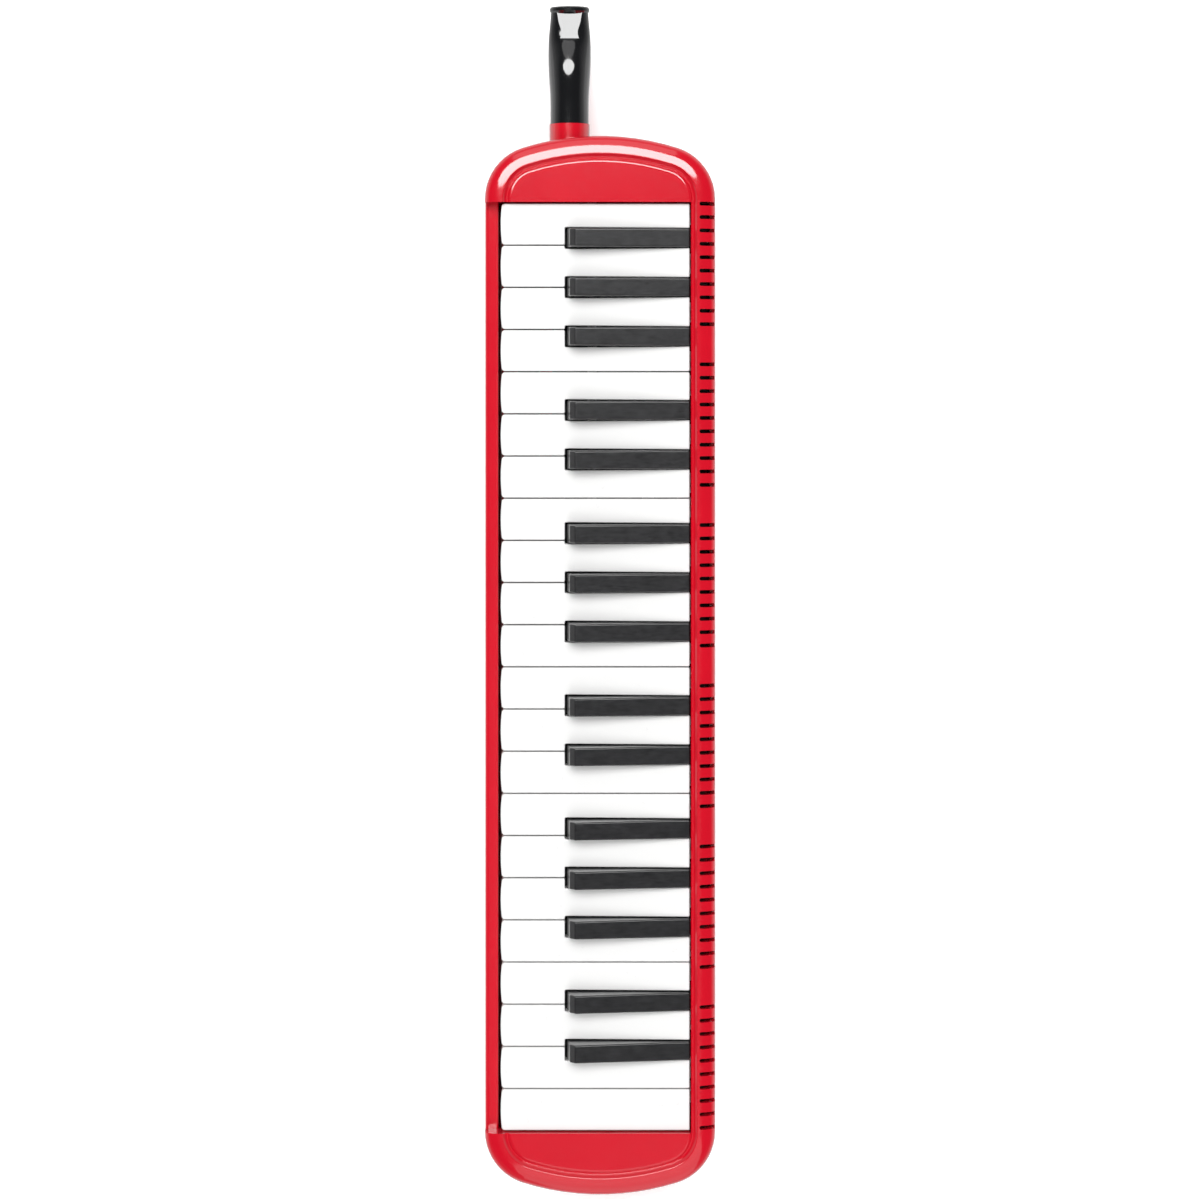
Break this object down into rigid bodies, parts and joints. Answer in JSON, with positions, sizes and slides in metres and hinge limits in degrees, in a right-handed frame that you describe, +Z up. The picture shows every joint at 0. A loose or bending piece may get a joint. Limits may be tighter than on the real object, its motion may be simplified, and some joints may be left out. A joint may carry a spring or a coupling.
{
  "type": "melodica",
  "caption": "Keyboard wind instrument: long rounded plastic case with sprung piano keys, a row of sound slots, a pull-out mouthpiece, a reed chamber, a drain button and a hand strap.",
  "frame": {"origin": "middle of the overall length and width, on the surface that the feet stand on", "axes": "+X along the keyboard from the low notes to the high ones, -Y towards the player, +Z up out of the keys"},
  "size_m": [0.5424, 0.105, 0.0475],
  "materials": {
    "case_red": "glossy moulded",
    "key_white": "glossy moulded",
    "key_black": "satin moulded",
    "mouth_black": "glossy moulded",
    "seal_rubber": "smooth",
    "foot_rubber": "matt",
    "steel": "drawn",
    "inner_plastic": "moulded",
    "reed_brass": "rolled",
    "felt": "pressed felt",
    "strap_leather": "grained"
  },
  "bodies": {
    "case": {"case_screws": "steel", "chamber_body": "inner_plastic", "chamber_cover": "inner_plastic", "chamber_gasket": "seal_rubber", "chamber_screws": "steel", "drain_spring": "steel", "front_felt": "felt", "front_guide": "inner_plastic", "hand_strap": "strap_leather", "key_axle": "steel", "key_comb": "inner_plastic", "key_springs": "steel", "lower_case": "case_red", "mouthpiece_socket": "case_red", "reed_plates": "reed_brass", "reeds": "reed_brass", "rubber_feet": "foot_rubber", "strap_pins": "steel", "upper_case": "case_red"},
    "mouthpiece": {"mouthpiece": "mouth_black", "mouthpiece_seal": "seal_rubber"},
    "drain_button": {"drain_button": "mouth_black", "drain_seal": "seal_rubber"},
    "key_01_white_f3": {"key_01_white_f3": "key_white"},
    "key_02_black_fs3": {"key_02_black_fs3": "key_black"},
    "key_03_white_g3": {"key_03_white_g3": "key_white"},
    "key_04_black_gs3": {"key_04_black_gs3": "key_black"},
    "key_05_white_a3": {"key_05_white_a3": "key_white"},
    "key_06_black_as3": {"key_06_black_as3": "key_black"},
    "key_07_white_b3": {"key_07_white_b3": "key_white"},
    "key_08_white_c4": {"key_08_white_c4": "key_white"},
    "key_09_black_cs4": {"key_09_black_cs4": "key_black"},
    "key_10_white_d4": {"key_10_white_d4": "key_white"},
    "key_11_black_ds4": {"key_11_black_ds4": "key_black"},
    "key_12_white_e4": {"key_12_white_e4": "key_white"},
    "key_13_white_f4": {"key_13_white_f4": "key_white"},
    "key_14_black_fs4": {"key_14_black_fs4": "key_black"},
    "key_15_white_g4": {"key_15_white_g4": "key_white"},
    "key_16_black_gs4": {"key_16_black_gs4": "key_black"},
    "key_17_white_a4": {"key_17_white_a4": "key_white"},
    "key_18_black_as4": {"key_18_black_as4": "key_black"},
    "key_19_white_b4": {"key_19_white_b4": "key_white"},
    "key_20_white_c5": {"key_20_white_c5": "key_white"},
    "key_21_black_cs5": {"key_21_black_cs5": "key_black"},
    "key_22_white_d5": {"key_22_white_d5": "key_white"},
    "key_23_black_ds5": {"key_23_black_ds5": "key_black"},
    "key_24_white_e5": {"key_24_white_e5": "key_white"},
    "key_25_white_f5": {"key_25_white_f5": "key_white"},
    "key_26_black_fs5": {"key_26_black_fs5": "key_black"},
    "key_27_white_g5": {"key_27_white_g5": "key_white"},
    "key_28_black_gs5": {"key_28_black_gs5": "key_black"},
    "key_29_white_a5": {"key_29_white_a5": "key_white"},
    "key_30_black_as5": {"key_30_black_as5": "key_black"},
    "key_31_white_b5": {"key_31_white_b5": "key_white"},
    "key_32_white_c6": {"key_32_white_c6": "key_white"},
    "key_33_black_cs6": {"key_33_black_cs6": "key_black"},
    "key_34_white_d6": {"key_34_white_d6": "key_white"},
    "key_35_black_ds6": {"key_35_black_ds6": "key_black"},
    "key_36_white_e6": {"key_36_white_e6": "key_white"},
    "key_37_white_f6": {"key_37_white_f6": "key_white"}
  },
  "joints": [
    {"name": "key_01_white_f3_press", "type": "hinge", "parent": "case", "child": "key_01_white_f3", "pos_m": [0, 0.022, 0.028], "axis": [1, 0, 0], "range_deg": [0, 5], "stiffness_Nm_per_rad": 0.08, "springref_deg": -14.9, "deforming": ["key_springs"]},
    {"name": "key_02_black_fs3_press", "type": "hinge", "parent": "case", "child": "key_02_black_fs3", "pos_m": [0, 0.022, 0.028], "axis": [1, 0, 0], "range_deg": [0, 5], "stiffness_Nm_per_rad": 0.08, "springref_deg": -14.9, "deforming": ["key_springs"]},
    {"name": "key_03_white_g3_press", "type": "hinge", "parent": "case", "child": "key_03_white_g3", "pos_m": [0, 0.022, 0.028], "axis": [1, 0, 0], "range_deg": [0, 5], "stiffness_Nm_per_rad": 0.08, "springref_deg": -14.9, "deforming": ["key_springs"]},
    {"name": "key_04_black_gs3_press", "type": "hinge", "parent": "case", "child": "key_04_black_gs3", "pos_m": [0, 0.022, 0.028], "axis": [1, 0, 0], "range_deg": [0, 5], "stiffness_Nm_per_rad": 0.08, "springref_deg": -14.9, "deforming": ["key_springs"]},
    {"name": "key_05_white_a3_press", "type": "hinge", "parent": "case", "child": "key_05_white_a3", "pos_m": [0, 0.022, 0.028], "axis": [1, 0, 0], "range_deg": [0, 5], "stiffness_Nm_per_rad": 0.08, "springref_deg": -14.9, "deforming": ["key_springs"]},
    {"name": "key_06_black_as3_press", "type": "hinge", "parent": "case", "child": "key_06_black_as3", "pos_m": [0, 0.022, 0.028], "axis": [1, 0, 0], "range_deg": [0, 5], "stiffness_Nm_per_rad": 0.08, "springref_deg": -14.9, "deforming": ["key_springs"]},
    {"name": "key_07_white_b3_press", "type": "hinge", "parent": "case", "child": "key_07_white_b3", "pos_m": [0, 0.022, 0.028], "axis": [1, 0, 0], "range_deg": [0, 5], "stiffness_Nm_per_rad": 0.08, "springref_deg": -14.9, "deforming": ["key_springs"]},
    {"name": "key_08_white_c4_press", "type": "hinge", "parent": "case", "child": "key_08_white_c4", "pos_m": [0, 0.022, 0.028], "axis": [1, 0, 0], "range_deg": [0, 5], "stiffness_Nm_per_rad": 0.08, "springref_deg": -14.9, "deforming": ["key_springs"]},
    {"name": "key_09_black_cs4_press", "type": "hinge", "parent": "case", "child": "key_09_black_cs4", "pos_m": [0, 0.022, 0.028], "axis": [1, 0, 0], "range_deg": [0, 5], "stiffness_Nm_per_rad": 0.08, "springref_deg": -14.9, "deforming": ["key_springs"]},
    {"name": "key_10_white_d4_press", "type": "hinge", "parent": "case", "child": "key_10_white_d4", "pos_m": [0, 0.022, 0.028], "axis": [1, 0, 0], "range_deg": [0, 5], "stiffness_Nm_per_rad": 0.08, "springref_deg": -14.9, "deforming": ["key_springs"]},
    {"name": "key_11_black_ds4_press", "type": "hinge", "parent": "case", "child": "key_11_black_ds4", "pos_m": [0, 0.022, 0.028], "axis": [1, 0, 0], "range_deg": [0, 5], "stiffness_Nm_per_rad": 0.08, "springref_deg": -14.9, "deforming": ["key_springs"]},
    {"name": "key_12_white_e4_press", "type": "hinge", "parent": "case", "child": "key_12_white_e4", "pos_m": [0, 0.022, 0.028], "axis": [1, 0, 0], "range_deg": [0, 5], "stiffness_Nm_per_rad": 0.08, "springref_deg": -14.9, "deforming": ["key_springs"]},
    {"name": "key_13_white_f4_press", "type": "hinge", "parent": "case", "child": "key_13_white_f4", "pos_m": [0, 0.022, 0.028], "axis": [1, 0, 0], "range_deg": [0, 5], "stiffness_Nm_per_rad": 0.08, "springref_deg": -14.9, "deforming": ["key_springs"]},
    {"name": "key_14_black_fs4_press", "type": "hinge", "parent": "case", "child": "key_14_black_fs4", "pos_m": [0, 0.022, 0.028], "axis": [1, 0, 0], "range_deg": [0, 5], "stiffness_Nm_per_rad": 0.08, "springref_deg": -14.9, "deforming": ["key_springs"]},
    {"name": "key_15_white_g4_press", "type": "hinge", "parent": "case", "child": "key_15_white_g4", "pos_m": [0, 0.022, 0.028], "axis": [1, 0, 0], "range_deg": [0, 5], "stiffness_Nm_per_rad": 0.08, "springref_deg": -14.9, "deforming": ["key_springs"]},
    {"name": "key_16_black_gs4_press", "type": "hinge", "parent": "case", "child": "key_16_black_gs4", "pos_m": [0, 0.022, 0.028], "axis": [1, 0, 0], "range_deg": [0, 5], "stiffness_Nm_per_rad": 0.08, "springref_deg": -14.9, "deforming": ["key_springs"]},
    {"name": "key_17_white_a4_press", "type": "hinge", "parent": "case", "child": "key_17_white_a4", "pos_m": [0, 0.022, 0.028], "axis": [1, 0, 0], "range_deg": [0, 5], "stiffness_Nm_per_rad": 0.08, "springref_deg": -14.9, "deforming": ["key_springs"]},
    {"name": "key_18_black_as4_press", "type": "hinge", "parent": "case", "child": "key_18_black_as4", "pos_m": [0, 0.022, 0.028], "axis": [1, 0, 0], "range_deg": [0, 5], "stiffness_Nm_per_rad": 0.08, "springref_deg": -14.9, "deforming": ["key_springs"]},
    {"name": "key_19_white_b4_press", "type": "hinge", "parent": "case", "child": "key_19_white_b4", "pos_m": [0, 0.022, 0.028], "axis": [1, 0, 0], "range_deg": [0, 5], "stiffness_Nm_per_rad": 0.08, "springref_deg": -14.9, "deforming": ["key_springs"]},
    {"name": "key_20_white_c5_press", "type": "hinge", "parent": "case", "child": "key_20_white_c5", "pos_m": [0, 0.022, 0.028], "axis": [1, 0, 0], "range_deg": [0, 5], "stiffness_Nm_per_rad": 0.08, "springref_deg": -14.9, "deforming": ["key_springs"]},
    {"name": "key_21_black_cs5_press", "type": "hinge", "parent": "case", "child": "key_21_black_cs5", "pos_m": [0, 0.022, 0.028], "axis": [1, 0, 0], "range_deg": [0, 5], "stiffness_Nm_per_rad": 0.08, "springref_deg": -14.9, "deforming": ["key_springs"]},
    {"name": "key_22_white_d5_press", "type": "hinge", "parent": "case", "child": "key_22_white_d5", "pos_m": [0, 0.022, 0.028], "axis": [1, 0, 0], "range_deg": [0, 5], "stiffness_Nm_per_rad": 0.08, "springref_deg": -14.9, "deforming": ["key_springs"]},
    {"name": "key_23_black_ds5_press", "type": "hinge", "parent": "case", "child": "key_23_black_ds5", "pos_m": [0, 0.022, 0.028], "axis": [1, 0, 0], "range_deg": [0, 5], "stiffness_Nm_per_rad": 0.08, "springref_deg": -14.9, "deforming": ["key_springs"]},
    {"name": "key_24_white_e5_press", "type": "hinge", "parent": "case", "child": "key_24_white_e5", "pos_m": [0, 0.022, 0.028], "axis": [1, 0, 0], "range_deg": [0, 5], "stiffness_Nm_per_rad": 0.08, "springref_deg": -14.9, "deforming": ["key_springs"]},
    {"name": "key_25_white_f5_press", "type": "hinge", "parent": "case", "child": "key_25_white_f5", "pos_m": [0, 0.022, 0.028], "axis": [1, 0, 0], "range_deg": [0, 5], "stiffness_Nm_per_rad": 0.08, "springref_deg": -14.9, "deforming": ["key_springs"]},
    {"name": "key_26_black_fs5_press", "type": "hinge", "parent": "case", "child": "key_26_black_fs5", "pos_m": [0, 0.022, 0.028], "axis": [1, 0, 0], "range_deg": [0, 5], "stiffness_Nm_per_rad": 0.08, "springref_deg": -14.9, "deforming": ["key_springs"]},
    {"name": "key_27_white_g5_press", "type": "hinge", "parent": "case", "child": "key_27_white_g5", "pos_m": [0, 0.022, 0.028], "axis": [1, 0, 0], "range_deg": [0, 5], "stiffness_Nm_per_rad": 0.08, "springref_deg": -14.9, "deforming": ["key_springs"]},
    {"name": "key_28_black_gs5_press", "type": "hinge", "parent": "case", "child": "key_28_black_gs5", "pos_m": [0, 0.022, 0.028], "axis": [1, 0, 0], "range_deg": [0, 5], "stiffness_Nm_per_rad": 0.08, "springref_deg": -14.9, "deforming": ["key_springs"]},
    {"name": "key_29_white_a5_press", "type": "hinge", "parent": "case", "child": "key_29_white_a5", "pos_m": [0, 0.022, 0.028], "axis": [1, 0, 0], "range_deg": [0, 5], "stiffness_Nm_per_rad": 0.08, "springref_deg": -14.9, "deforming": ["key_springs"]},
    {"name": "key_30_black_as5_press", "type": "hinge", "parent": "case", "child": "key_30_black_as5", "pos_m": [0, 0.022, 0.028], "axis": [1, 0, 0], "range_deg": [0, 5], "stiffness_Nm_per_rad": 0.08, "springref_deg": -14.9, "deforming": ["key_springs"]},
    {"name": "key_31_white_b5_press", "type": "hinge", "parent": "case", "child": "key_31_white_b5", "pos_m": [0, 0.022, 0.028], "axis": [1, 0, 0], "range_deg": [0, 5], "stiffness_Nm_per_rad": 0.08, "springref_deg": -14.9, "deforming": ["key_springs"]},
    {"name": "key_32_white_c6_press", "type": "hinge", "parent": "case", "child": "key_32_white_c6", "pos_m": [0, 0.022, 0.028], "axis": [1, 0, 0], "range_deg": [0, 5], "stiffness_Nm_per_rad": 0.08, "springref_deg": -14.9, "deforming": ["key_springs"]},
    {"name": "key_33_black_cs6_press", "type": "hinge", "parent": "case", "child": "key_33_black_cs6", "pos_m": [0, 0.022, 0.028], "axis": [1, 0, 0], "range_deg": [0, 5], "stiffness_Nm_per_rad": 0.08, "springref_deg": -14.9, "deforming": ["key_springs"]},
    {"name": "key_34_white_d6_press", "type": "hinge", "parent": "case", "child": "key_34_white_d6", "pos_m": [0, 0.022, 0.028], "axis": [1, 0, 0], "range_deg": [0, 5], "stiffness_Nm_per_rad": 0.08, "springref_deg": -14.9, "deforming": ["key_springs"]},
    {"name": "key_35_black_ds6_press", "type": "hinge", "parent": "case", "child": "key_35_black_ds6", "pos_m": [0, 0.022, 0.028], "axis": [1, 0, 0], "range_deg": [0, 5], "stiffness_Nm_per_rad": 0.08, "springref_deg": -14.9, "deforming": ["key_springs"]},
    {"name": "key_36_white_e6_press", "type": "hinge", "parent": "case", "child": "key_36_white_e6", "pos_m": [0, 0.022, 0.028], "axis": [1, 0, 0], "range_deg": [0, 5], "stiffness_Nm_per_rad": 0.08, "springref_deg": -14.9, "deforming": ["key_springs"]},
    {"name": "key_37_white_f6_press", "type": "hinge", "parent": "case", "child": "key_37_white_f6", "pos_m": [0, 0.022, 0.028], "axis": [1, 0, 0], "range_deg": [0, 5], "stiffness_Nm_per_rad": 0.08, "springref_deg": -14.9, "deforming": ["key_springs"]},
    {"name": "mouthpiece_pull", "type": "slide", "parent": "case", "child": "mouthpiece", "axis": [-1, 0, 0], "range_m": [0, 0.017]},
    {"name": "drain_press", "type": "slide", "parent": "case", "child": "drain_button", "axis": [0, 0, 1], "range_m": [0, 0.002], "stiffness_N_per_m": 300, "springref_m": -0.004, "deforming": ["drain_spring"]}
  ]
}
